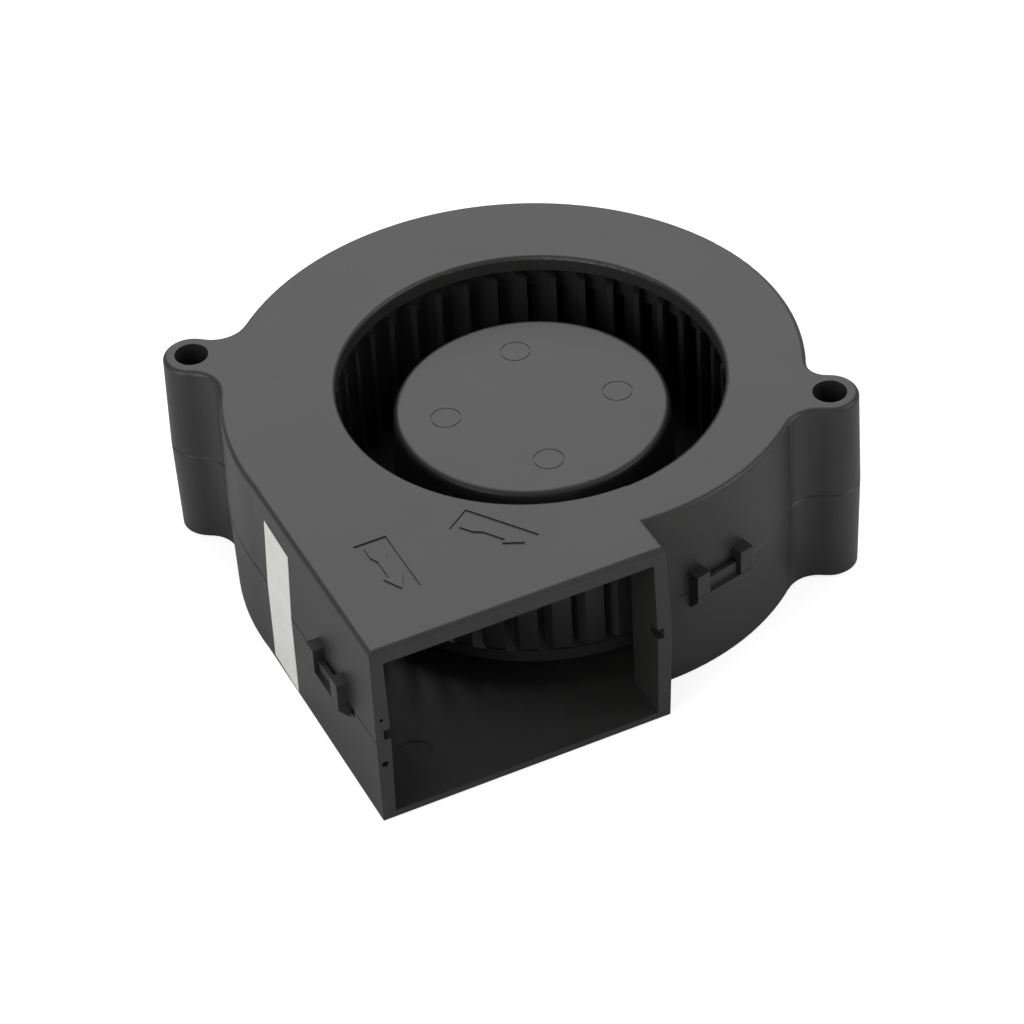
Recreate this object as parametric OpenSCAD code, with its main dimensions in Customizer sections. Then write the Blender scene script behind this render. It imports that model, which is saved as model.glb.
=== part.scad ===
// Centrifugal DC blower: a two-part snapped scroll housing around a forward-curved blade wheel.
// The wheel's hub is the cup of an outer-rotor brushless motor, carried on two ball bearings.
// Frame: origin on the rotor axis at the base plane, +Z to the air inlet, outlet facing -Y.

/* [Housing] */
// Overall height, from the base to the inlet face
body_h = 33; // [31:0.5:38]
// Height of the parting plane between the two housing halves
parting_z = 16.5; // [15:0.1:18]
// Thickness of the side walls
side_wall = 2; // [1.6:0.1:2.4]
// Thickness of the roof, which holds the air inlet
roof_t = 2.6; // [2:0.1:3]
// Thickness of the floor
floor_t = 1.6; // [1.2:0.1:2]
// How far the side walls stand out at the parting plane, for mould draft
draft = 0.3; // [0.2:0.1:0.8]
// Radius of the rounded edges of the inlet face
edge_r = 0.8; // [0.4:0.1:1.2]
// Size of the broken corner around the base
base_edge = 0.4; // [0.2:0.1:0.6]
// Depth of the broken corner that each half has along the seam
seam_break = 0.2; // [0.1:0.05:0.3]

/* [Scroll] */
// Radius of the wide arc on the far side of the scroll
far_r = 44.85; // [43:0.05:54]
// Radius of the tighter arc that runs in to the cut-off
near_r = 39.9; // [38.5:0.1:42]
// Centre of the tighter arc, across, from the rotor axis
near_x = 2.57; // [1.5:0.01:3.5]
// Centre of the tighter arc, lengthwise, from the rotor axis
near_y = 1.77; // [1:0.01:2.5]
// Direction of the point where the two arcs meet
blend_angle = 21; // [15:1:27]

/* [Outlet] */
// Outside width of the outlet duct
duct_w = 46.6; // [42:0.1:48]
// Distance from the rotor axis to the outlet rim, at the inlet face
duct_reach = 44.6; // [43:0.1:54]
// How far the outlet rim leans forward at the parting plane
rim_lean = 0.7; // [0.3:0.1:1.6]
// Radius of the cut-off nose between duct and scroll
nose_r = 1.2; // [0.8:0.1:1.6]

/* [Inlet] */
// Diameter of the air inlet
inlet_d = 58.7; // [56:0.1:59]
// Radius of the inlet's rounded edge
inlet_edge_r = 0.6; // [0.3:0.1:1]
// Depth of the two panels that carry the direction marks
panel_sink = 0.2; // [0.05:0.05:0.4]

/* [Mounting ears] */
// Diameter of the two mounting holes
ear_hole_d = 5.2; // [3.2:0.1:5.6]
// Wall around each mounting hole
ear_wall = 1.8; // [1.5:0.1:2.4]
// Distance from the wide arc to the middle of the ear behind the duct
ear_a_stand = 5.58; // [5:0.01:7]
// Direction of the ear behind the duct, from the wide arc's centre
ear_a_angle = 143.96; // [138:0.01:148]
// Distance from the tighter arc to the middle of the ear beside the cut-off
ear_b_stand = 4.01; // [3.8:0.01:5.5]
// Direction of the ear beside the cut-off, from the tighter arc's centre
ear_b_angle = -37.78; // [-42:0.01:-32]
// Radius of the hollows that blend the ears into the scroll
ear_fillet_r = 5; // [4:0.1:6]
// Radius of the tighter hollow on the far side of the second ear
ear_fillet_small_r = 3; // [2.5:0.1:4]

/* [Seam] */
// Height of the locating lip that the lower half has inside the seam
lip_h = 1.8; // [1:0.1:2.4]
// Thickness of the locating lip
lip_t = 0.9; // [0.6:0.1:1]
// Clearance around the locating lip
lip_gap = 0.15; // [0.1:0.05:0.25]
// Distance that the lip stops short of the outlet rim
lip_setback = 2; // [1:0.5:4]

/* [Snap clips] */
// Width of each guide post
post_w = 2.4; // [1.8:0.1:2.8]
// Height of the guide posts above the parting plane
post_h = 4; // [2:0.1:5]
// How far posts and ledge stand out of the wall
clip_proud = 1.65; // [1:0.05:2]
// Spacing of the two posts, centre to centre
post_pitch = 8.4; // [7.5:0.1:10]
// Height of the latch tongue above the parting plane
tongue_h = 2.15; // [0.8:0.05:2.5]
// Side clearance of the latch tongue
tongue_gap = 0.25; // [0.15:0.05:0.4]

/* [Blade wheel] */
// Number of blades
blade_count = 40; // [30:1:44]
// Outside diameter over the blades
wheel_d = 64; // [62:0.2:66]
// Radial depth of a blade
blade_depth = 2.6; // [2:0.1:3]
// Thickness of a blade
blade_t = 1.05; // [0.8:0.05:1.2]
// Angle by which a blade's tip leads its root
blade_lead = 3.4; // [2:0.1:5]
// Radius of a blade's curve
blade_curve_r = 3.5; // [2.4:0.1:6]
// Turn of the first blade from the X axis
blade_phase = 3.5; // [0:0.5:9]
// Gap between the roof and the blade tops
wheel_top_gap = 1.5; // [1:0.1:2]
// Gap between the floor and the wheel's disc
wheel_floor_gap = 3; // [2.6:0.1:3.4]
// Thickness of the wheel's disc
disc_t = 2; // [1.6:0.1:2.4]
// Height of the ring that ties the blade tops together
top_ring_h = 2.6; // [1.5:0.1:4]
// Diameter of the hub at its crown
hub_d = 42; // [41:0.1:43]
// Depth of the hub's crown below the inlet face
hub_drop = 5.6; // [4.5:0.1:7]
// How far the hub's wall spreads towards the disc
hub_draft = 0.9; // [0.4:0.1:1.2]
// Radius of the hub's crown edge
hub_edge_r = 1.1; // [0.6:0.1:1.5]
// Thickness of the hub's side wall at its crown
hub_wall = 1.3; // [1:0.1:1.5]
// Thickness of the hub's crown
crown_t = 1.6; // [1.2:0.1:2]

/* [Motor] */
// Thickness of the steel yoke
yoke_t = 1; // [0.8:0.1:1.2]
// Radial thickness of the ring magnet
magnet_t = 2; // [1.6:0.1:2.4]
// Length of the ring magnet
magnet_h = 14; // [11:0.5:15]
// Air gap between magnet and stator
air_gap = 0.4; // [0.3:0.05:0.6]
// Height of the lamination stack
stack_h = 8; // [6:0.5:8.5]
// Width of a stator tooth
tooth_w = 5; // [4:0.1:6]
// Clearance between parts that are pressed or glued together
seat_gap = 0.02; // [0.01:0.005:0.03]

/* [Bearings] */
// Diameter of the shaft
shaft_d = 3; // [2.8:0.1:3.2]
// Outside diameter of the ball bearings
bearing_d = 8; // [7.8:0.1:8.4]
// Width of the ball bearings
bearing_w = 4; // [3.5:0.1:4]
// Number of balls in each bearing
ball_count = 7; // [6:1:8]
// Radius of a ball
ball_r = 0.6; // [0.5:0.05:0.6]
// Running clearance in the bearings
ball_gap = 0.02; // [0.01:0.005:0.03]
// Wall of the bearing tube
tube_wall = 1.5; // [1.2:0.1:1.8]

/* [Hidden] */
$fn = 96;

black_plastic = [0.27, 0.27, 0.27];
dark_plastic = [0.2, 0.2, 0.2];
steel = [0.72, 0.73, 0.75];
brass = [0.8, 0.68, 0.36];
copper = [0.72, 0.42, 0.22];

// Plan of the scroll: the near arc lies round the wheel, and touches the far arc from inside.
near_c = [near_x, near_y];
far_c = near_c - (far_r - near_r) * [cos(blend_angle), sin(blend_angle)];
duct_left = far_c[0] - far_r;
duct_right = duct_left + duct_w;
ear_r = ear_hole_d / 2 + ear_wall;
ear_a = far_c + (far_r + ear_a_stand) * [cos(ear_a_angle), sin(ear_a_angle)];
ear_b = near_c + (near_r + ear_b_stand) * [cos(ear_b_angle), sin(ear_b_angle)];
reach = 3 * far_r;
// Length by which a cutter runs on past what it cuts.
margin = 1;
// Small steps that make touching arcs, walls and rounded edges cross.
step = 0.04;
cross = 0.05;
bite = 0.02;

// Levels of the wheel and motor.
roof_z = body_h - roof_t;
blade_top_z = roof_z - wheel_top_gap;
disc_z = floor_t + wheel_floor_gap;
disc_top_z = disc_z + disc_t;
crown_z = body_h - hub_drop;
hub_inner_z = crown_z - crown_t;
wheel_r = wheel_d / 2;
blade_ring_r = wheel_r - blade_depth;
disc_r = wheel_r + 0.4;
hub_r = hub_d / 2;

// Motor radii, worked inwards from the hub.
yoke_r = hub_r - hub_wall - seat_gap;
yoke_inner_r = yoke_r - yoke_t;
magnet_r = yoke_inner_r - seat_gap;
magnet_inner_r = magnet_r - magnet_t;
stator_r = magnet_inner_r - air_gap;
shoe_t = 1.7;

// Shaft line, worked upwards from the base.
bore_r = bearing_d / 2;
tube_bore_r = bore_r + seat_gap;
tube_r = tube_bore_r + tube_wall;
core_hub_r = tube_r + (stator_r - tube_r) / 4;
shaft_r = shaft_d / 2;
cap_t = 1.2;
tube_shoulder_r = bore_r - 0.7;
clip_z = 2.5;
clip_t = 0.4;
washer_t = 0.3;
lower_bearing_z = clip_z + clip_t + washer_t + 2 * seat_gap;
spring_h = 2;
bush_z = crown_z - 4.8;
upper_bearing_z = bush_z - spring_h - bearing_w;
tube_top_z = upper_bearing_z + bearing_w + 0.4;
bush_r = 3.5;
bush_sink = 0.6;

// Stator and board levels.
board_z = floor_t + 2.3;
board_t = 1;
board_top_z = board_z + board_t;
stack_z = (lower_bearing_z + upper_bearing_z + bearing_w) / 2 - stack_h / 2 + 1.6;
plate_t = 1;
coil_rise = 2.2;
boss_r = tube_r + (stator_r - tube_r) * 0.23;
dam_r = stator_r + 1.4;
dam_t = 1.2;
dam_z = disc_z + 1.2;
board_r = dam_r - dam_t - 0.4;
part_r = (boss_r + board_r) / 2;

// Radii of the bearing rings.
ball_circle_r = (bore_r + shaft_r) / 2;
outer_ring_bore_r = ball_circle_r + ball_r * 0.6;
inner_ring_r = ball_circle_r - ball_r * 0.6;

// Lead trough moulded into the underside, out through the back of the scroll.
trough_angle = 62;
trough_w = 5;
trough_h = 1.9;
trough_roof = 1.1;

// ---------------------------------------------------------------- housing form

// Centre of a circle that touches two circles from outside. Sums are of the radii.
function touching_centre(a, sum_a, b, sum_b, side) =
    let (d = norm(b - a),
         u = (b - a) / d,
         along = (sum_a * sum_a - sum_b * sum_b + d * d) / (2 * d),
         off = sqrt(sum_a * sum_a - along * along))
    a + along * u + side * off * [-u[1], u[0]];

// Distance from a drafted wall's top to the centre of its rounded edge.
function edge_inset(rise, lean, r) = r * (norm([rise, lean]) - lean) / rise;

// Outer side of a wall section, from its foot to its head. Inward gives the hollow's side.
module wall_section(r, lean, inward, upper) {
    s = inward ? -1 : 1;
    rise = body_h - parting_z;
    slope = norm([rise, lean]);
    round_x = r - s * edge_inset(rise, lean, edge_r);
    round_z = body_h - edge_r;
    touch = [round_x + s * (edge_r - bite) * rise / slope, round_z + edge_r * lean / slope];
    seam_x = r + s * lean;
    over = inward ? margin : 0;
    if (upper && inward) {
        difference() {
            polygon([[0, parting_z - over], [seam_x + seam_break, parting_z - over],
                     [seam_x + seam_break, parting_z], [seam_x, parting_z + seam_break], touch,
                     [round_x, round_z], [round_x, body_h + over], [0, body_h + over]]);
            translate([round_x, round_z]) circle(r = edge_r);
        }
    } else if (upper) {
        polygon([[0, parting_z], [seam_x - seam_break, parting_z], [seam_x, parting_z + seam_break],
                 touch, [round_x, round_z], [round_x, body_h], [0, body_h]]);
        translate([round_x, round_z]) circle(r = edge_r);
    } else {
        polygon([[0, -over], [r - s * base_edge, -over], [r - s * base_edge, 0], [r, base_edge],
                 [seam_x, parting_z - seam_break], [seam_x - s * seam_break, parting_z],
                 [seam_x - s * seam_break, parting_z + over], [0, parting_z + over]]);
    }
}

// Round column with the housing's drafted wall.
module column(c, r, upper) {
    translate(c) rotate_extrude() wall_section(r, draft, false, upper);
}

// Hollow that leaves the same wall standing around it.
module hollow(c, r, upper) {
    translate(c) rotate_extrude() wall_section(r, draft, true, upper);
}

// Sector of the scroll, from the given angle over the given sweep.
module scroll_sector(c, r, start, sweep, upper) {
    translate(c) rotate([0, 0, start]) rotate_extrude(angle = sweep)
        wall_section(r, draft, false, upper);
}

// Duct: the section across it, cut to length by the leaning section along it.
module duct_form(upper) {
    half_w = (duct_w - cross) / 2;
    mid = duct_right - half_w;
    intersection() {
        translate([0, far_c[1] + margin, 0]) rotate([90, 0, 0]) linear_extrude(height = 2 * duct_reach) {
            translate([mid, 0]) wall_section(half_w, draft, false, upper);
            translate([mid + margin, 0]) mirror([1, 0])
                wall_section(half_w + margin, draft, false, upper);
        }
        translate([duct_left - margin, far_c[1] + margin + step, 0]) rotate([90, 0, 90])
            linear_extrude(height = duct_w + 2 * margin) mirror([1, 0])
                wall_section(duct_reach + far_c[1] + margin + step, rim_lean, false, upper);
    }
}

// Ear with a hollow on each side that blends it into the scroll arc beside it.
module ear_form(e, c, r, left_r, right_r, upper) {
    left = touching_centre(e, ear_r + left_r, c, r + left_r, 1);
    right = touching_centre(e, ear_r + right_r, c, r + right_r, -1);
    left_foot = c + (left - c) * (r - 1) / (r + left_r);
    right_foot = c + (right - c) * (r - 1) / (r + right_r);
    column(e, ear_r, upper);
    difference() {
        translate([0, 0, upper ? parting_z : 0])
            linear_extrude(height = upper ? body_h - parting_z : parting_z)
                polygon([e, left, left_foot, right_foot, right]);
        hollow(left, left_r - step, upper);
        hollow(right, right_r - step, upper);
    }
}

// Outside of one housing half.
module housing_form(upper) {
    scroll_sector(far_c, far_r + step, blend_angle, 170, upper);
    column(near_c, near_r, upper);
    duct_form(upper);
    ear_form(ear_a, far_c, far_r + step, ear_fillet_r, ear_fillet_r, upper);
    ear_form(ear_b, near_c, near_r, ear_fillet_r, ear_fillet_small_r, upper);
}

// Half of a disc, from the given angle.
module half_disc(c, r, start) {
    translate(c) rotate(start) intersection() {
        circle(r = r);
        translate([-2 * r, 0]) square([4 * r, 2 * r]);
    }
}

// Plan of the air passage, moved into the walls by grow.
module passage_plan(grow) {
    inset = side_wall - grow;
    left = duct_left + inset;
    right = duct_right - inset;
    arc_r = near_r - inset;
    nose_x = right + nose_r;
    nose_y = near_c[1] - sqrt(pow(arc_r + nose_r, 2) - pow(nose_x - near_c[0], 2));
    half_disc(far_c, far_r - inset + step, blend_angle);
    translate(near_c) circle(r = arc_r);
    translate([left + cross, -reach]) square([right - left - cross, reach + far_c[1] + margin]);
    difference() {
        polygon([[right - nose_r, nose_y], [nose_x, nose_y], near_c, [right - nose_r, near_c[1]]]);
        translate([nose_x, nose_y]) circle(r = nose_r - step);
    }
}

module passage() {
    translate([0, 0, floor_t]) linear_extrude(height = roof_z - floor_t) passage_plan(0);
}

// Flared hole in the roof, with its upper edge rounded.
module inlet_cut() {
    r = inlet_d / 2;
    edge = inlet_edge_r;
    z = body_h - edge;
    rotate_extrude() difference() {
        polygon([[0, roof_z - margin], [r, roof_z - margin], [r, z], [r + edge, z],
                 [r + edge, body_h + margin], [0, body_h + margin]]);
        translate([r + edge, z]) circle(r = edge);
    }
}

// Two shallow panels sunk into the inlet face, one beside the duct's wall and one beside the inlet.
module face_panels() {
    translate([duct_left, -duct_reach, body_h - panel_sink]) {
        translate([7.5, 9.7, 0]) cube([5.1, 12.1, margin]);
        translate([21.2, 18.7, 0]) rotate([0, 0, -55.2]) cube([12.2, 4.85, margin]);
    }
}

// Ejector mark on the outlet rim, a small round hollow.
module rim_mark(z, d) {
    translate([duct_left + 0.9, 0.25 - duct_reach, z]) rotate([90, 0, 0]) cylinder(h = 5, d = d, $fn = 32);
}

// Wide, very shallow ejector mark on the duct's floor.
module floor_mark() {
    translate([duct_left + 9.4, 9.4 - duct_reach, floor_t - 0.12]) cylinder(h = margin, d = 5.4);
}

module ear_holes() {
    for (e = [ear_a, ear_b])
        translate([e[0], e[1], -margin]) cylinder(h = body_h + 2 * margin, d = ear_hole_d);
}

// Places its children at each clip, +X along the wall, +Y out of it.
module at_clips() {
    translate([duct_left - draft, clip_left_y, 0]) rotate([0, 0, 90]) children();
    translate(near_c) rotate([0, 0, clip_near_angle - 90]) translate([0, near_r + draft, 0]) children();
    translate(far_c) rotate([0, 0, clip_far_angle - 90]) translate([0, far_r + draft, 0]) children();
}

clip_left_y = 14.2 - duct_reach;
clip_near_angle = -76.7;
clip_far_angle = 78;
ledge_w = post_pitch + post_w;
post_root = 1.2;

// Two guide posts that keep the latch tongue in place.
module clip_posts() {
    for (s = [-1, 1])
        translate([s * post_pitch / 2 - post_w / 2, -post_root, parting_z + 0.05])
            cube([post_w, post_root + clip_proud, post_h]);
}

// Ledge that the posts stand on, tapering down into the wall, and the latch tongue between them.
module clip_latch() {
    tongue_w = post_pitch - post_w - 2 * tongue_gap;
    top = parting_z - 0.05;
    translate([-ledge_w / 2, 0, 0]) rotate([90, 0, 90]) linear_extrude(height = ledge_w)
        polygon([[-post_root, top - 3.2], [0, top - 2.6], [clip_proud, top - 0.7], [clip_proud, top],
                 [-post_root, top]]);
    translate([-tongue_w / 2, 0.2, top - 1]) cube([tongue_w, 0.75, tongue_h + 1]);
}

// Relief slot beside the ledge, on its outlet side.
module clip_relief() {
    translate([-ledge_w / 2 - 1.8, -0.8, parting_z - 1.5]) cube([1.8, 3, 1.5 + margin]);
}

// ---------------------------------------------------------------- housing halves

module upper_housing() {
    color(black_plastic) {
        difference() {
            housing_form(true);
            passage();
            inlet_cut();
            ear_holes();
            face_panels();
            rim_mark(20.4, 0.6);
            translate([0, 0, parting_z - margin]) linear_extrude(height = margin + lip_h + lip_gap)
                passage_plan(lip_t + lip_gap);
        }
        at_clips() clip_posts();
    }
}

module lower_housing() {
    color(black_plastic) {
        difference() {
            union() {
                difference() {
                    housing_form(false);
                    passage();
                    ear_holes();
                    rim_mark(11.8, 1.1);
                    floor_mark();
                    at_clips() clip_relief();
                }
                locating_lip();
                at_clips() clip_latch();
                motor_base();
            }
            translate([0, 0, -margin]) cylinder(h = reach, r = tube_r + seat_gap);
            lead_trough_cut();
        }
    }
}

// Lip that rises out of the lower half's wall into the upper half's rebate.
module locating_lip() {
    translate([0, 0, parting_z - 1]) linear_extrude(height = 1 + lip_h) difference() {
        intersection() {
            passage_plan(lip_t);
            translate([-reach, -duct_reach + lip_setback]) square([2 * reach, 2 * reach]);
        }
        passage_plan(0);
    }
}

// Boss for the bearing tube, dam around the circuit board and cover of the lead trough.
module motor_base() {
    cylinder(h = board_z - 0.3, r = boss_r);
    difference() {
        cylinder(h = dam_z, r = dam_r);
        translate([0, 0, floor_t]) cylinder(h = dam_z, r = dam_r - dam_t);
    }
    intersection() {
        rotate([0, 0, trough_angle]) translate([dam_r - dam_t - 4, -trough_w / 2 - 1.2, 0])
            cube([reach, trough_w + 2.4, trough_h + trough_roof]);
        translate([0, 0, -margin]) linear_extrude(height = body_h) passage_plan(0.5);
    }
}

// Channel for the leads, open to the underside, with a slot up to the circuit board.
module lead_trough_cut() {
    rotate([0, 0, trough_angle]) {
        translate([dam_r - dam_t - 3, -trough_w / 2, -margin]) cube([reach, trough_w, trough_h + margin]);
        translate([dam_r - dam_t - 3, -trough_w / 2, -margin]) cube([2.5, trough_w, board_z]);
    }
}

// Thin paper seal over the seam on the duct's side wall, set slightly askew.
module seal_label() {
    label_y = far_c[1] - 10.8;
    label_w = 8.6;
    label_z = 1.2;
    label_h = 28;
    label_t = 0.1;
    label_tilt = 3.4;
    near_x = duct_left + cross - seat_gap;
    color("white") intersection() {
        translate([0, label_y + label_w, 0]) rotate([90, 0, 0]) linear_extrude(height = 2 * label_w)
            polygon([[near_x, 0], [near_x - draft, parting_z], [near_x, body_h],
                     [near_x - label_t, body_h], [near_x - draft - label_t, parting_z],
                     [near_x - label_t, 0]]);
        translate([duct_left - 5, label_y, label_z + label_h / 2]) rotate([label_tilt, 0, 0])
            translate([0, -label_w / 2, -label_h / 2]) cube([10, label_w, label_h]);
    }
}

module bearing_cap() {
    color(black_plastic) cylinder(h = cap_t - seat_gap, r = tube_r);
}

// ---------------------------------------------------------------- bearings and shaft

// Tube with a seat for each bearing and a narrower stretch between them.
module bearing_tube() {
    color(brass) difference() {
        translate([0, 0, cap_t]) cylinder(h = tube_top_z - cap_t, r = tube_r);
        cylinder(h = lower_bearing_z + bearing_w + seat_gap, r = tube_bore_r);
        cylinder(h = body_h, r = tube_shoulder_r);
        translate([0, 0, upper_bearing_z - seat_gap]) cylinder(h = body_h, r = tube_bore_r);
    }
}

// Section of a bearing ring, with the groove that the balls run in.
module ring_section(inner, outer) {
    difference() {
        translate([inner, 0]) square([outer - inner, bearing_w]);
        translate([ball_circle_r, bearing_w / 2]) circle(r = ball_r + ball_gap);
    }
}

module outer_ring(z) {
    color(steel) translate([0, 0, z]) rotate_extrude() ring_section(outer_ring_bore_r, bore_r);
}

module inner_ring(z) {
    color(steel) translate([0, 0, z]) rotate_extrude() ring_section(shaft_r + seat_gap, inner_ring_r);
}

module balls(z) {
    color(steel) for (i = [0 : ball_count - 1])
        rotate([0, 0, i * 360 / ball_count]) translate([ball_circle_r, 0, z + bearing_w / 2])
            sphere(r = ball_r, $fn = 32);
}

// Crown cage: a ring above the balls, with fingers that reach down between them.
module ball_cage(z) {
    cage_w = 0.5;
    finger_h = 0.35;
    ring_top = ball_r + ball_gap + 0.45;
    color(brass) translate([0, 0, z + bearing_w / 2]) difference() {
        translate([0, 0, -finger_h]) rotate_extrude()
            translate([ball_circle_r - cage_w / 2, 0]) square([cage_w, finger_h + ring_top]);
        for (i = [0 : ball_count - 1])
            rotate([0, 0, i * 360 / ball_count]) translate([ball_circle_r, 0, 0])
                sphere(r = ball_r + ball_gap, $fn = 32);
    }
}

// Thin rings in the outer rings, just clear of the inner rings.
module bearing_shields() {
    shield_t = 0.15;
    for (z = [lower_bearing_z, upper_bearing_z])
        for (end = [0.1, bearing_w - 0.1 - shield_t])
            color(steel) translate([0, 0, z + end]) difference() {
                cylinder(h = shield_t, r = outer_ring_bore_r - seat_gap);
                translate([0, 0, -margin]) cylinder(h = 3, r = inner_ring_r + 0.05);
            }
}

module rotor_shaft() {
    groove_r = shaft_r - 0.25;
    color(steel) difference() {
        translate([0, 0, clip_z - 0.6])
            cylinder(h = crown_z - crown_t + bush_sink - seat_gap - clip_z + 0.6, r = shaft_r);
        translate([0, 0, clip_z - seat_gap]) difference() {
            cylinder(h = clip_t + 2 * seat_gap, r = shaft_r + margin);
            translate([0, 0, -margin]) cylinder(h = 3, r = groove_r);
        }
    }
}

// Spring clip in the shaft's groove, open on one side.
module retaining_clip() {
    color(steel) translate([0, 0, clip_z]) linear_extrude(height = clip_t) difference() {
        circle(r = bore_r - 0.9);
        circle(r = shaft_r - 0.25 + seat_gap);
        translate([0, -0.9]) square([bore_r, 1.8]);
    }
}

module thrust_washer() {
    color("white") translate([0, 0, clip_z + clip_t + seat_gap]) difference() {
        cylinder(h = washer_t, r = inner_ring_r);
        translate([0, 0, -margin]) cylinder(h = 3, r = shaft_r + seat_gap);
    }
}

// Coil spring between the upper bearing's inner ring and the bush.
module preload_spring() {
    wire_r = 0.17;
    coil_r = shaft_r + 0.12 + wire_r;
    turns = 3.5;
    sides = 8;
    steps = 84;
    z0 = upper_bearing_z + bearing_w + wire_r + seat_gap;
    climb = spring_h - 2 * (wire_r + seat_gap);
    ring = [for (i = [0 : steps]) let (a = 360 * turns * i / steps)
            for (k = [0 : sides - 1]) let (b = 360 * k / sides, r = coil_r + wire_r * cos(b))
                [r * cos(a), r * sin(a), z0 + climb * i / steps + wire_r * sin(b)]];
    skin = [for (i = [0 : steps - 1]) for (k = [0 : sides - 1])
            let (n = (k + 1) % sides)
            [i * sides + k, i * sides + n, (i + 1) * sides + n, (i + 1) * sides + k]];
    start_face = [for (k = [sides - 1 : -1 : 0]) k];
    end_face = [for (k = [0 : sides - 1]) steps * sides + k];
    color(steel) polyhedron(points = ring, faces = concat(skin, [start_face, end_face]), convexity = 8);
}

module shaft_bush() {
    color(brass) difference() {
        translate([0, 0, bush_z]) cylinder(h = hub_inner_z + bush_sink - bush_z - seat_gap, r = bush_r);
        cylinder(h = body_h, r = shaft_r + seat_gap / 2);
    }
}

// ---------------------------------------------------------------- rotor

// Section of hub and disc: drafted wall, rounded crown edge and a fillet onto the disc.
module hub_section() {
    foot_r = hub_r + hub_draft;
    fillet = 1.8;
    polygon([[0, hub_inner_z], [0, crown_z], [hub_r - hub_edge_r, crown_z],
             [hub_r - hub_edge_r, crown_z - hub_edge_r], [hub_r, crown_z - hub_edge_r],
             [foot_r, disc_top_z], [disc_r, disc_top_z], [disc_r, disc_z],
             [hub_r - hub_wall, disc_z], [hub_r - hub_wall, hub_inner_z]]);
    translate([hub_r - hub_edge_r, crown_z - hub_edge_r]) intersection() {
        circle(r = hub_edge_r);
        square(2 * hub_edge_r);
    }
    difference() {
        translate([foot_r - 0.1, disc_top_z - 0.1]) square([fillet + 0.1, fillet + 0.1]);
        translate([foot_r + fillet, disc_top_z + fillet]) circle(r = fillet);
    }
}

// Centre of a blade's curve, from its root and tip.
function curve_centre(root, tip, r) =
    let (d = tip - root, half = norm(d) / 2)
    (root + tip) / 2 + sqrt(r * r - half * half) * [-d[1], d[0]] / (2 * half);

// Plan of one blade: an arc of a ring, between the root and tip circles of the wheel.
module blade_plan() {
    root_r = blade_ring_r;
    tip = wheel_r * [cos(blade_lead), sin(blade_lead)];
    c = curve_centre([root_r, 0], tip, blade_curve_r);
    c_angle = atan2(c[1], c[0]);
    intersection() {
        translate(c) difference() {
            circle(r = blade_curve_r + blade_t / 2, $fn = 48);
            circle(r = blade_curve_r - blade_t / 2, $fn = 48);
        }
        difference() {
            circle(r = wheel_r);
            circle(r = root_r);
        }
        polygon([[0, 0], 2 * wheel_r * [cos(c_angle - 12), sin(c_angle - 12)],
                 2 * wheel_r * [cos(c_angle), sin(c_angle)]]);
    }
}

module blade_wheel() {
    color(dark_plastic) {
        difference() {
            rotate_extrude() hub_section();
            translate([0, 0, hub_inner_z - margin])
                cylinder(h = margin + bush_sink, r = bush_r + seat_gap);
            for (a = [75, 165, 255, 345])
                rotate([0, 0, a]) translate([13.2, 0, crown_z - 0.12]) difference() {
                    cylinder(h = margin, r = 2.35);
                    translate([0, 0, -margin]) cylinder(h = 3, r = 2.2);
                }
        }
        translate([0, 0, disc_top_z - 0.2]) linear_extrude(height = blade_top_z - disc_top_z + 0.2)
            for (i = [0 : blade_count - 1])
                rotate(blade_phase + i * 360 / blade_count) blade_plan();
        translate([0, 0, blade_top_z - 0.3 - top_ring_h]) difference() {
            cylinder(h = top_ring_h, r = disc_r);
            translate([0, 0, -margin]) cylinder(h = body_h, r = wheel_r - 0.6);
        }
    }
}

// Steel cup inside the hub, which carries the magnet and closes its field.
module rotor_yoke() {
    top = hub_inner_z - seat_gap;
    bottom = disc_z + 1.9;
    color(steel) difference() {
        translate([0, 0, bottom]) cylinder(h = top - bottom, r = yoke_r);
        translate([0, 0, bottom - margin]) cylinder(h = top - bottom - yoke_t + margin, r = yoke_inner_r);
        cylinder(h = body_h, r = bush_r + seat_gap);
    }
}

module ring_magnet() {
    bottom = disc_z + 2.4;
    color([0.18, 0.16, 0.15]) translate([0, 0, bottom]) difference() {
        cylinder(h = magnet_h, r = magnet_r);
        translate([0, 0, -margin]) cylinder(h = magnet_h + 2 * margin, r = magnet_inner_r);
    }
}

// ---------------------------------------------------------------- stator and board

// Places its children on each of the four teeth, +X outwards.
module on_teeth() {
    for (i = [0 : 3]) rotate([0, 0, 90 * i]) children();
}

// Plan of the four-pole laminations, with the pole faces parted by slots.
module core_plan() {
    slot_w = 2.6;
    difference() {
        union() {
            circle(r = core_hub_r);
            on_teeth() translate([0, -tooth_w / 2]) square([stator_r - shoe_t / 2, tooth_w]);
            difference() {
                circle(r = stator_r);
                circle(r = stator_r - shoe_t);
                rotate(45) on_teeth() translate([0, -slot_w / 2]) square([stator_r + margin, slot_w]);
            }
        }
        circle(r = tube_r + seat_gap);
    }
}

module stator_core() {
    color(steel) translate([0, 0, stack_z]) linear_extrude(height = stack_h) core_plan();
}

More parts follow.
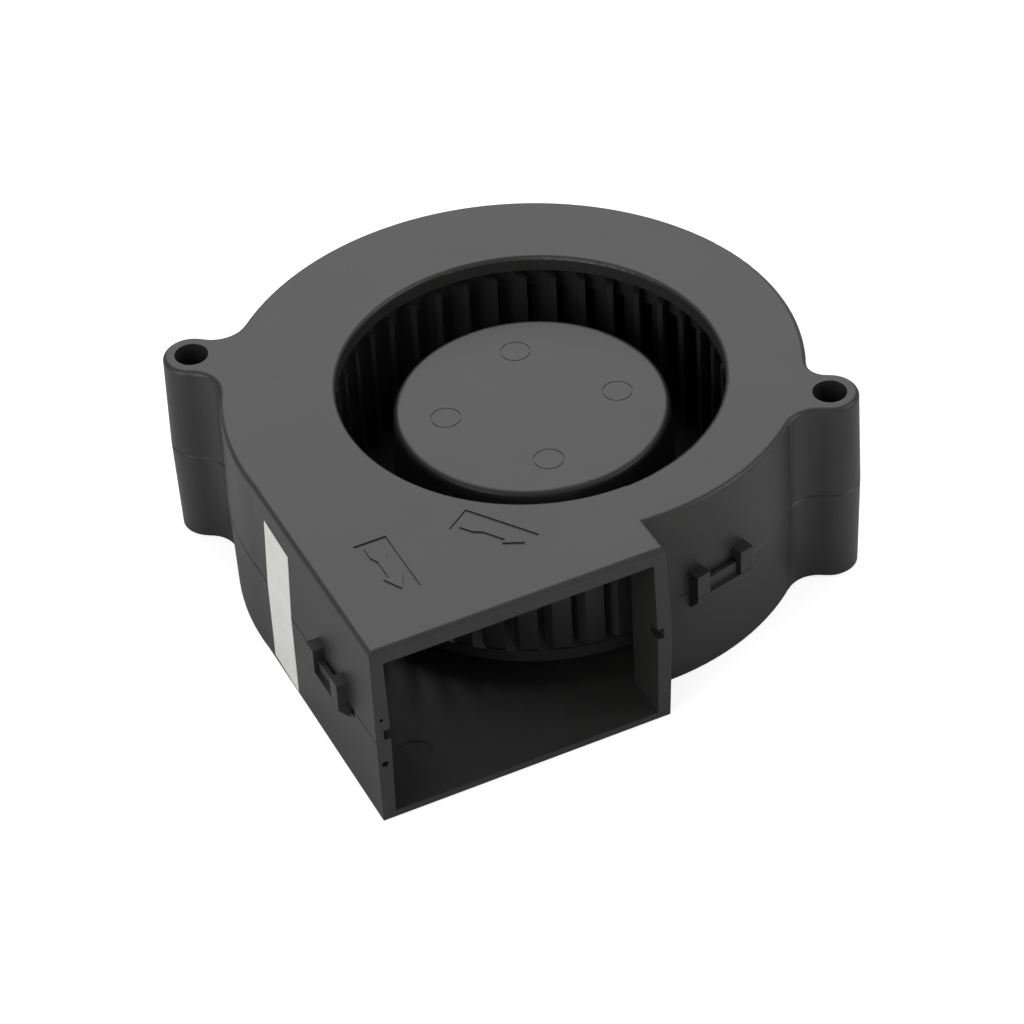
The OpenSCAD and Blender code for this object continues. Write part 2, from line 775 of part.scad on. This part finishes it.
// Bobbin plate on one end of the stack, drawn for the upper end.
module insulator() {
    neck_w = tooth_w + 1.2;
    rim_r = stator_r - shoe_t;
    linear_extrude(height = plate_t) difference() {
        union() {
            circle(r = core_hub_r);
            on_teeth() translate([0, -neck_w / 2]) square([rim_r - 0.4, neck_w]);
        }
        circle(r = tube_r + seat_gap);
    }
    linear_extrude(height = plate_t + coil_rise) difference() {
        union() {
            circle(r = core_hub_r + 0.9);
            intersection() {
                difference() {
                    circle(r = rim_r);
                    circle(r = rim_r - 0.8);
                }
                on_teeth() translate([0, -core_hub_r * 0.6]) square([stator_r, core_hub_r * 1.2]);
            }
        }
        circle(r = core_hub_r);
    }
}

module upper_insulator() {
    color("ivory") translate([0, 0, stack_z + stack_h + seat_gap]) insulator();
}

// The lower bobbin plate also has four posts that carry the terminal pins down to the board.
module lower_insulator() {
    base = stack_z - seat_gap;
    color("ivory") {
        difference() {
            union() {
                translate([0, 0, base]) mirror([0, 0, 1]) insulator();
                rotate([0, 0, 45]) on_teeth() translate([core_hub_r - 0.6, -1.1, board_top_z])
                    cube([2, 2.2, base - plate_t - board_top_z + 0.4]);
            }
            pin_shafts(seat_gap);
        }
    }
}

// Four coils, each a rounded frame around its tooth.
module stator_windings() {
    from_r = core_hub_r + 0.9 + 0.15;
    in_w = tooth_w + 2 * 0.65;
    in_h = stack_h + 2 * (plate_t + 2 * seat_gap);
    build = (stator_r - core_hub_r) * 0.236;
    corner = 0.8 * build;
    to_r = sqrt(pow(stator_r - shoe_t - 0.8, 2) - pow(in_w / 2 + build, 2)) - 0.15;
    color(copper) translate([0, 0, stack_z + stack_h / 2]) on_teeth()
        translate([from_r, 0, 0]) rotate([90, 0, 90]) linear_extrude(height = to_r - from_r) difference() {
            rounded_plan(in_w + 2 * build, in_h + 2 * build, corner);
            square([in_w, in_h], center = true);
        }
}

// Rectangle with round corners, centred.
module rounded_plan(w, h, r) {
    square([w - 2 * r, h], center = true);
    square([w, h - 2 * r], center = true);
    for (x = [-1, 1], y = [-1, 1])
        translate([x * (w / 2 - r), y * (h / 2 - r)]) circle(r = r);
}

pin_side = 0.6;

// Shafts of the terminal pins, with clearance g.
module pin_shafts(g) {
    side = pin_side + 2 * g;
    rotate([0, 0, 45]) on_teeth()
        translate([core_hub_r + 0.4 - side / 2, -side / 2, board_z - 0.8])
            cube([side, side, stack_z - plate_t - board_z + 0.3]);
}

module terminal_pins() {
    color(brass) pin_shafts(0);
}

module circuit_board() {
    color("seagreen") difference() {
        translate([0, 0, board_z]) cylinder(h = board_t - seat_gap, r = board_r);
        translate([0, 0, board_z - margin]) cylinder(h = 3 * margin, r = tube_r + 0.3);
        pin_shafts(0.1);
    }
}

// Surface-mounted block under the board.
module under_board(angle, r, size) {
    rotate([0, 0, angle]) translate([r - size[0] / 2, -size[1] / 2, board_z - seat_gap - size[2]])
        cube(size);
}

module driver_chip() {
    color(dark_plastic) under_board(200, part_r - 0.5, [5, 4, 1.5]);
    color(steel) for (side = [-1, 1], i = [-1.5 : 1 : 1.5])
        rotate([0, 0, 200])
            translate([part_r - 0.5 + i * 1.27 - 0.2, side * 2.6 - 0.6, board_z - seat_gap - 0.6])
                cube([0.4, 1.2, 0.6]);
}

// Sensor that reads the magnet, standing on the board between two pole faces.
module hall_sensor() {
    color(dark_plastic) rotate([0, 0, 225]) translate([board_r - 2, -2, board_top_z]) cube([1.4, 4, 2.6]);
}

module board_parts() {
    color("tan") under_board(300, part_r, [1.6, 3.2, 1.2]);
    color("tan") under_board(330, part_r, [1.6, 3.2, 1.2]);
    color(dark_plastic) under_board(120, part_r, [2.6, 4.4, 1.9]);
    color(dark_plastic) under_board(270, part_r, [1.2, 2, 0.5]);
    color(dark_plastic) under_board(150, part_r, [1.2, 2, 0.5]);
}

// ---------------------------------------------------------------- nodes

module lower_bearing_outer_ring() { outer_ring(lower_bearing_z); }
module upper_bearing_outer_ring() { outer_ring(upper_bearing_z); }
module lower_bearing_inner_ring() { inner_ring(lower_bearing_z); }
module upper_bearing_inner_ring() { inner_ring(upper_bearing_z); }
module lower_bearing_balls() { balls(lower_bearing_z); }
module upper_bearing_balls() { balls(upper_bearing_z); }
module lower_ball_cage() { ball_cage(lower_bearing_z); }
module upper_ball_cage() { ball_cage(upper_bearing_z); }

upper_housing();
lower_housing();
seal_label();
bearing_cap();
bearing_tube();
lower_bearing_outer_ring();
upper_bearing_outer_ring();
bearing_shields();
stator_core();
lower_insulator();
upper_insulator();
stator_windings();
terminal_pins();
circuit_board();
driver_chip();
hall_sensor();
board_parts();
blade_wheel();
rotor_yoke();
ring_magnet();
shaft_bush();
rotor_shaft();
preload_spring();
lower_bearing_inner_ring();
upper_bearing_inner_ring();
thrust_washer();
retaining_clip();
lower_ball_cage();
upper_ball_cage();
lower_bearing_balls();
upper_bearing_balls();
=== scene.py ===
"""A centrifugal DC blower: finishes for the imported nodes, the moulded marks, the light and the camera."""

import math

import bpy
import numpy as np
from mathutils import Matrix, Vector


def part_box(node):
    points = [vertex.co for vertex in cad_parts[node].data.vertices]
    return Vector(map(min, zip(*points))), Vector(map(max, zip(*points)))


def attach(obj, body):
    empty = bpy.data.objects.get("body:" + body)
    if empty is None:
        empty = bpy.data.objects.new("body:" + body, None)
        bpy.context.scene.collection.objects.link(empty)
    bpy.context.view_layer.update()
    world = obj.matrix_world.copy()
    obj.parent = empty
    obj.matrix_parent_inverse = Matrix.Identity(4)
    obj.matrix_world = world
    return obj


MM = 0.001

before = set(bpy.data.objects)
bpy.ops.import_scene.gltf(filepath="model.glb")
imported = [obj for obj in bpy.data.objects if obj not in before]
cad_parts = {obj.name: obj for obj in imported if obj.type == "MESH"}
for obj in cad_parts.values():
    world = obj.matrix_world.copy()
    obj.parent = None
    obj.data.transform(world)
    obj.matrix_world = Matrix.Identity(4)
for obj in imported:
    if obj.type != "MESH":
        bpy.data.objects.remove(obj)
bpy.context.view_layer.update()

# The housing's top face and its lowest point, from the imported parts.
top_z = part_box("upper_housing")[1][2]
floor_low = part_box("lower_housing")[0][2]


# ---------------------------------------------------------------- materials

def linear(hex_colour):
    """The linear colour of an sRGB hex value."""
    parts = [int(hex_colour[i:i + 2], 16) / 255 for i in (1, 3, 5)]
    return [c / 12.92 if c <= 0.04045 else ((c + 0.055) / 1.055) ** 2.4 for c in parts] + [1.0]


def add(tree, kind, inputs=None, **settings):
    """Adds a node, sets its settings, and fills each named input with a value or a link from another node's output."""
    made = tree.nodes.new(kind)
    for name, value in settings.items():
        setattr(made, name, value)
    for name, value in (inputs or {}).items():
        if isinstance(value, bpy.types.NodeSocket):
            tree.links.new(value, made.inputs[name])
        else:
            made.inputs[name].default_value = value
    return made


def finish_of(name, colour, roughness, metallic=0.0, ior=1.5, grain_mm=0.0, depth_mm=0.0, mottle=None,
              lines_mm=0.0, lines_axis="Z", lines_depth_mm=0.0):
    """A finish with one base colour. grain is a fine random relief, mottle a second colour that drifts
    over the surface, and lines a fine ribbing at a real spacing, all on Object coordinates."""
    material = bpy.data.materials.new(name)
    material.use_nodes = True
    tree = material.node_tree
    tree.nodes.clear()
    place = add(tree, "ShaderNodeTexCoord").outputs["Object"]
    shader = add(tree, "ShaderNodeBsdfPrincipled", {"Base Color": linear(colour), "Roughness": roughness})
    shader.inputs["Metallic"].default_value = metallic
    if not metallic:
        shader.inputs["IOR"].default_value = ior
    if mottle:
        patch_mm, second = mottle
        drift = add(tree, "ShaderNodeTexNoise", {"Vector": place, "Scale": 1 / (patch_mm * MM), "Detail": 4.0})
        ramp = add(tree, "ShaderNodeValToRGB", {"Fac": drift.outputs["Fac"]})
        ramp.color_ramp.elements[0].color = linear(colour)
        ramp.color_ramp.elements[0].position = 0.35
        ramp.color_ramp.elements[1].color = linear(second)
        ramp.color_ramp.elements[1].position = 0.7
        tree.links.new(ramp.outputs["Color"], shader.inputs["Base Color"])
    relief = None
    if grain_mm:
        noise = add(tree, "ShaderNodeTexNoise", {"Vector": place, "Scale": 1 / (grain_mm * MM), "Detail": 3.0})
        relief = add(tree, "ShaderNodeBump", {"Height": noise.outputs["Fac"], "Distance": depth_mm * MM,
                                              "Strength": 1.0})
    if lines_mm:
        wave = add(tree, "ShaderNodeTexWave", {"Vector": place, "Scale": 0.314 / (lines_mm * MM)},
                   bands_direction=lines_axis)
        relief = add(tree, "ShaderNodeBump", {"Height": wave.outputs["Fac"], "Distance": lines_depth_mm * MM,
                                              "Strength": 1.0})
    if relief:
        tree.links.new(relief.outputs["Normal"], shader.inputs["Normal"])
    add(tree, "ShaderNodeOutputMaterial", {"Surface": shader.outputs["BSDF"]})
    return material


# Glass-filled PBT, moulded in a spark-eroded tool: a fine even grain and a soft sheen.
housing_black = finish_of("moulded_pbt_black", "#2b2b2a", 0.42, grain_mm=0.35, depth_mm=0.012,
                          mottle=(9.0, "#2f2f2e"))
# The same resin in a smoother tool, as the turning parts have.
wheel_black = finish_of("moulded_pbt_smooth", "#272727", 0.38, grain_mm=0.3, depth_mm=0.008,
                        mottle=(7.0, "#2b2b2b"))
# Uncoated label paper, nearly matt.
label_paper = finish_of("label_paper", "#ecece8", 0.75, grain_mm=0.4, depth_mm=0.006, mottle=(4.0, "#e4e4df"))
# Natural polyamide, slightly yellow.
nylon = finish_of("natural_nylon", "#d9d2bb", 0.5, grain_mm=0.5, depth_mm=0.006, mottle=(3.0, "#cfc7ad"))
# Turned brass, with fine tool lines.
turned_brass = finish_of("turned_brass", "#c9a45a", 0.3, 1.0, lines_mm=0.25, lines_depth_mm=0.004)
# Ground bearing steel.
ground_steel = finish_of("ground_steel", "#c4c6c8", 0.2, 1.0, grain_mm=0.3, depth_mm=0.001)
# Electrical steel laminations, half a millimetre each.
laminations = finish_of("stacked_laminations", "#85878a", 0.45, 1.0, lines_mm=0.5, lines_depth_mm=0.03)
# Deep-drawn zinc-plated cup.
plated_steel = finish_of("zinc_plated_steel", "#a9acae", 0.35, 1.0, grain_mm=0.6, depth_mm=0.003)
# Bonded ferrite, dull and dark.
ferrite = finish_of("bonded_ferrite", "#2a2726", 0.7, grain_mm=0.3, depth_mm=0.01, mottle=(2.0, "#332f2d"))
# Enamelled copper wire, wound in turns of about a third of a millimetre.
copper_wire = finish_of("enamelled_copper", "#a8562e", 0.32, 1.0, lines_mm=0.33, lines_depth_mm=0.06)
# Solder mask over glass-fibre board.
solder_mask = finish_of("solder_mask_green", "#1f5a37", 0.35, grain_mm=0.8, depth_mm=0.004, mottle=(2.0, "#24663f"))
# Moulded epoxy of the small parts.
epoxy = finish_of("moulded_epoxy", "#26272a", 0.5, grain_mm=0.2, depth_mm=0.005, mottle=(1.0, "#2d2e31"))

finishes = {
    housing_black: ["upper_housing", "lower_housing", "bearing_cap"],
    wheel_black: ["blade_wheel"],
    label_paper: ["seal_label"],
    nylon: ["lower_insulator", "upper_insulator", "thrust_washer"],
    turned_brass: ["bearing_tube", "terminal_pins", "shaft_bush", "lower_ball_cage", "upper_ball_cage"],
    ground_steel: ["lower_bearing_outer_ring", "upper_bearing_outer_ring", "bearing_shields",
                   "lower_bearing_inner_ring", "upper_bearing_inner_ring", "lower_bearing_balls",
                   "upper_bearing_balls", "rotor_shaft", "preload_spring", "retaining_clip"],
    laminations: ["stator_core"],
    plated_steel: ["rotor_yoke"],
    ferrite: ["ring_magnet"],
    copper_wire: ["stator_windings"],
    solder_mask: ["circuit_board"],
    epoxy: ["driver_chip", "hall_sensor", "board_parts"],
}
for material, names in finishes.items():
    for name in names:
        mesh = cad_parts[name].data
        mesh.materials.clear()
        mesh.materials.append(material)

# ---------------------------------------------------------------- moulded marks


def surface(name, points, faces, material, body):
    """A new piece in the row frame from its points and faces, riding on a body."""
    mesh = bpy.data.meshes.new(name)
    mesh.from_pydata(points.tolist(), [], faces)
    mesh.materials.append(material)
    piece = bpy.data.objects.new(name, mesh)
    bpy.context.scene.collection.objects.link(piece)
    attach(piece, body)
    return piece


def raised_arrow(name, tail_mm, tip_mm, low, high):
    """A plain direction arrow, standing from low to high. Its outline is given by half widths at shares of
    its length: a broad tail, a narrower shaft, then a head that runs to a point. The outline is mirrored
    about the line from tail to tip, and its lower and upper copies are joined by walls."""
    tail, tip = np.array(tail_mm) * MM, np.array(tip_mm) * MM
    along = tip - tail
    across = np.array([-along[1], along[0]]) / np.linalg.norm(along) * MM
    share = np.array([0.0, 0.22, 0.35, 0.72, 0.72])
    half_width_mm = np.array([1.3, 1.3, 0.7, 0.7, 1.55])
    one_side = tail + share[:, None] * along + half_width_mm[:, None] * across
    other_side = tail + share[:, None] * along - half_width_mm[:, None] * across
    outline = np.vstack([other_side, tip[None], one_side[::-1]])
    n = len(outline)
    points = np.vstack([np.column_stack([outline, np.full(n, z)]) for z in (low, high)])
    i = np.arange(n)
    j = (i + 1) % n
    walls = np.stack([i, j, j + n, i + n], 1).tolist()
    return surface(name, points, walls + [i[::-1].tolist(), (i + n).tolist()], housing_black, "housing")


# The arrows stand in the two sunk panels of the inlet face, level with the face itself.
PANEL_SINK = 0.2 * MM
raised_arrow("outlet_arrow", (-36.9, -23.9), (-36.9, -34.1), top_z - 1.5 * PANEL_SINK, top_z)
raised_arrow("turning_arrow", (-23.08, -25.42), (-17.31, -33.71), top_z - 1.5 * PANEL_SINK, top_z)

# ---------------------------------------------------------------- floor, light and camera


def stage_plane(name, size, z, material):
    """A square of the given side at a level."""
    half = size / 2
    mesh = bpy.data.meshes.new(name)
    mesh.from_pydata([(-half, -half, z), (half, -half, z), (half, half, z), (-half, half, z)], [], [(0, 1, 2, 3)])
    mesh.materials.append(material)
    plane = bpy.data.objects.new(name, mesh)
    bpy.context.scene.collection.objects.link(plane)


def pale_floor():
    """White card that the camera sees at full white, less the object's shadow."""
    material = bpy.data.materials.new("white_card")
    material.use_nodes = True
    tree = material.node_tree
    tree.nodes.clear()
    card = add(tree, "ShaderNodeBsdfDiffuse", {"Color": linear("#d8d8d8")}).outputs["BSDF"]
    seen = add(tree, "ShaderNodeLightPath").outputs["Is Camera Ray"]
    glow = add(tree, "ShaderNodeEmission", {"Color": linear("#ffffff"), "Strength": 0.75})
    both = add(tree, "ShaderNodeAddShader")
    tree.links.new(card, both.inputs[0])
    tree.links.new(glow.outputs["Emission"], both.inputs[1])
    mix = add(tree, "ShaderNodeMixShader", {"Fac": seen})
    tree.links.new(card, mix.inputs[1])
    tree.links.new(both.outputs["Shader"], mix.inputs[2])
    add(tree, "ShaderNodeOutputMaterial", {"Surface": mix.outputs["Shader"]})
    return material


stage_plane("floor_card", 6.0, floor_low - 0.02 * MM, pale_floor())

world = bpy.data.worlds.new("studio")
bpy.context.scene.world = world
world.use_nodes = True
tree = world.node_tree
tree.nodes.clear()
seen = add(tree, "ShaderNodeLightPath").outputs["Is Camera Ray"]
dim = add(tree, "ShaderNodeBackground", {"Color": linear("#ffffff"), "Strength": 0.35})
white = add(tree, "ShaderNodeBackground", {"Color": linear("#ffffff"), "Strength": 1.0})
mix = add(tree, "ShaderNodeMixShader", {"Fac": seen})
tree.links.new(dim.outputs["Background"], mix.inputs[1])
tree.links.new(white.outputs["Background"], mix.inputs[2])
add(tree, "ShaderNodeOutputWorld", {"Surface": mix.outputs["Shader"]})


def softbox(name, azimuth, elevation, distance, size, watts):
    """A square area lamp that faces the object's middle."""
    lamp = bpy.data.lights.new(name, "AREA")
    lamp.size = size
    lamp.energy = watts
    made = bpy.data.objects.new(name, lamp)
    a, e = math.radians(azimuth), math.radians(elevation)
    away = np.array([math.sin(a) * math.cos(e), -math.cos(a) * math.cos(e), math.sin(e)])
    made.location = away * distance + np.array([0, 0, 0.016])
    made.rotation_euler = (math.pi / 2 - e, 0, a)
    bpy.context.scene.collection.objects.link(made)


softbox("key_box", 158, 46, 0.9, 0.9, 4.6)
softbox("left_box", -70, 22, 0.9, 0.6, 3.2)
softbox("right_box", 55, 25, 1.0, 0.5, 2.2)

# The camera: turned and raised round its target, then rolled about its line of sight.
azimuth, elevation, roll = math.radians(-23.58), math.radians(40.689), math.radians(-3.49)
target = np.array([-8.413, -9.355, 16.5]) * MM
distance = 612.755 * MM
focal_px, sensor_mm, image_px = 4074.2, 36.0, 1024
back = np.array([math.sin(azimuth) * math.cos(elevation), -math.cos(azimuth) * math.cos(elevation),
                 math.sin(elevation)])
level = np.array([math.cos(azimuth), math.sin(azimuth), 0])
upright = np.cross(back, level)
right = level * math.cos(roll) + upright * math.sin(roll)
up = -level * math.sin(roll) + upright * math.cos(roll)
lens = bpy.data.cameras.new("camera")
lens.sensor_width = sensor_mm
lens.lens = focal_px * sensor_mm / image_px
lens.clip_start = 0.01
camera = bpy.data.objects.new("camera", lens)
turn = np.eye(4)
turn[:3, 0], turn[:3, 1], turn[:3, 2] = right, up, back
turn[:3, 3] = target + back * distance
camera.matrix_world = Matrix(turn.tolist())
bpy.context.scene.collection.objects.link(camera)
bpy.context.scene.camera = camera
bpy.context.scene.view_settings.view_transform = "Standard"
